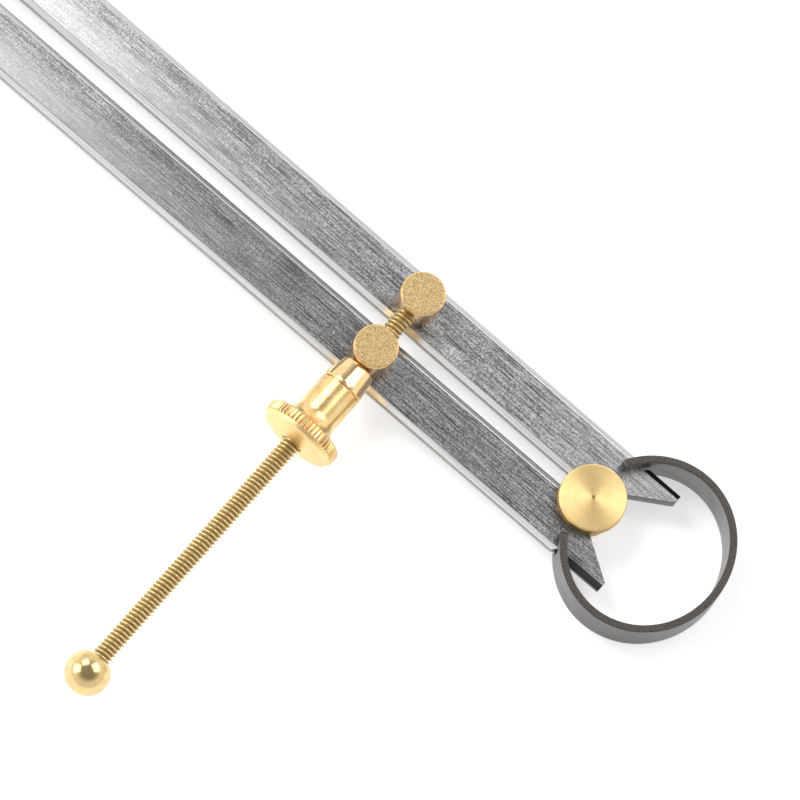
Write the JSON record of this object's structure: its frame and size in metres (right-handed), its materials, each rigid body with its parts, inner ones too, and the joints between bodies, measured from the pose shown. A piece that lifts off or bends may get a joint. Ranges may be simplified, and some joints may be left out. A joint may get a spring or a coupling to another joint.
{
  "type": "divider caliper",
  "caption": "Spring divider: two flat tapered legs on a fulcrum, opened by a bow spring and set by a knurled nut on a ball-ended screw.",
  "frame": {"origin": "on the axis of the fulcrum, at the outer face of its back cap, which the tool rests on", "axes": "+X along the tool from the points to the bow spring, +Y towards the left leg, +Z along the fulcrum axis from the back cap to the front cap"},
  "size_m": [0.3002, 0.1349, 0.0226],
  "materials": {
    "leg_steel": "ground along the leg, bright bevels, fine scratches",
    "spring_steel": "tempered spring steel, satin faces and dark edges",
    "turned_brass": "lathe turned",
    "polished_brass": "polished, knurled on the nut's disc",
    "screw_brass": "darkened in the thread",
    "inner_steel": "plain"
  },
  "bodies": {
    "fulcrum": {"fulcrum_stud": "turned_brass", "fulcrum_back_cap": "turned_brass"},
    "bow_back": {"bow_spring_back": "spring_steel"},
    "bow_left": {"bow_spring_left_arm": "spring_steel"},
    "bow_right": {"bow_spring_right_arm": "spring_steel"},
    "left_leg": {"left_leg": "leg_steel"},
    "right_leg": {"right_leg": "leg_steel"},
    "anchor": {"anchor_post": "turned_brass", "anchor_washer": "turned_brass", "anchor_pin": "inner_steel", "adjusting_screw": "screw_brass", "screw_ball": "polished_brass"},
    "guide": {"guide_post": "turned_brass", "guide_washer": "turned_brass"},
    "nut_front": {"nut_nose": "polished_brass", "nut_snap_ring": "inner_steel"},
    "nut": {"nut_sleeve": "polished_brass", "jaw_spring_ring": "inner_steel"},
    "jaw_upper": {"nut_jaw_upper": "screw_brass"},
    "jaw_lower": {"nut_jaw_lower": "screw_brass"}
  },
  "joints": [
    {"name": "right_leg_hinge", "type": "hinge", "parent": "fulcrum", "child": "right_leg", "pos_m": [0, 0, 0.0062], "axis": [0, 0, 1], "range_deg": [-0.45, 33]},
    {"name": "left_leg_hinge", "type": "hinge", "parent": "fulcrum", "child": "left_leg", "pos_m": [0, 0, 0.0062], "axis": [0, 0, 1], "range_deg": [-33, 0.45]},
    {"name": "bow_slide", "type": "slide", "parent": "fulcrum", "child": "bow_back", "axis": [1, 0, 0], "range_m": [-0.00011, 0.00741]},
    {"name": "bow_left_flex", "type": "hinge", "parent": "bow_back", "child": "bow_left", "pos_m": [0.03271, 0.00824, 0.0062], "axis": [0, 0, 1], "range_deg": [-0.1, 6.05]},
    {"name": "bow_right_flex", "type": "hinge", "parent": "bow_back", "child": "bow_right", "pos_m": [0.03271, -0.00824, 0.0062], "axis": [0, 0, 1], "range_deg": [-6.05, 0.1]},
    {"name": "anchor_swivel", "type": "hinge", "parent": "left_leg", "child": "anchor", "pos_m": [-0.05928, 0.00828, 0.0062], "axis": [0, 0, 1], "range_deg": [-0.45, 33]},
    {"name": "guide_swivel", "type": "hinge", "parent": "right_leg", "child": "guide", "pos_m": [-0.05928, -0.00828, 0.0062], "axis": [0, 0, 1], "range_deg": [-33, 0.45]},
    {"name": "nut_slide", "type": "slide", "parent": "guide", "child": "nut_front", "axis": [0, -1, 0], "range_m": [0, 0.0045]},
    {"name": "nut_spin", "type": "hinge", "parent": "nut_front", "child": "nut", "pos_m": [-0.05928, -0.02828, 0.0129], "axis": [0, -1, 0], "continuous": true},
    {"name": "jaw_upper_open", "type": "slide", "parent": "nut", "child": "jaw_upper", "axis": [0, 0, 1], "range_m": [0, 0.0005], "stiffness_N_per_m": 1000},
    {"name": "jaw_lower_open", "type": "slide", "parent": "nut", "child": "jaw_lower", "axis": [0, 0, -1], "range_m": [0, 0.0005]}
  ],
  "couplings": [
    {"joint": "left_leg_hinge", "follows": "right_leg_hinge", "ratio": -1},
    {"joint": "bow_slide", "follows": "right_leg_hinge", "m_per_rad": 0.012848},
    {"joint": "bow_left_flex", "follows": "right_leg_hinge", "ratio": 0.1818},
    {"joint": "bow_right_flex", "follows": "right_leg_hinge", "ratio": -0.1818},
    {"joint": "anchor_swivel", "follows": "right_leg_hinge", "ratio": 1},
    {"joint": "guide_swivel", "follows": "right_leg_hinge", "ratio": -1},
    {"joint": "jaw_lower_open", "follows": "jaw_upper_open", "ratio": 1}
  ]
}
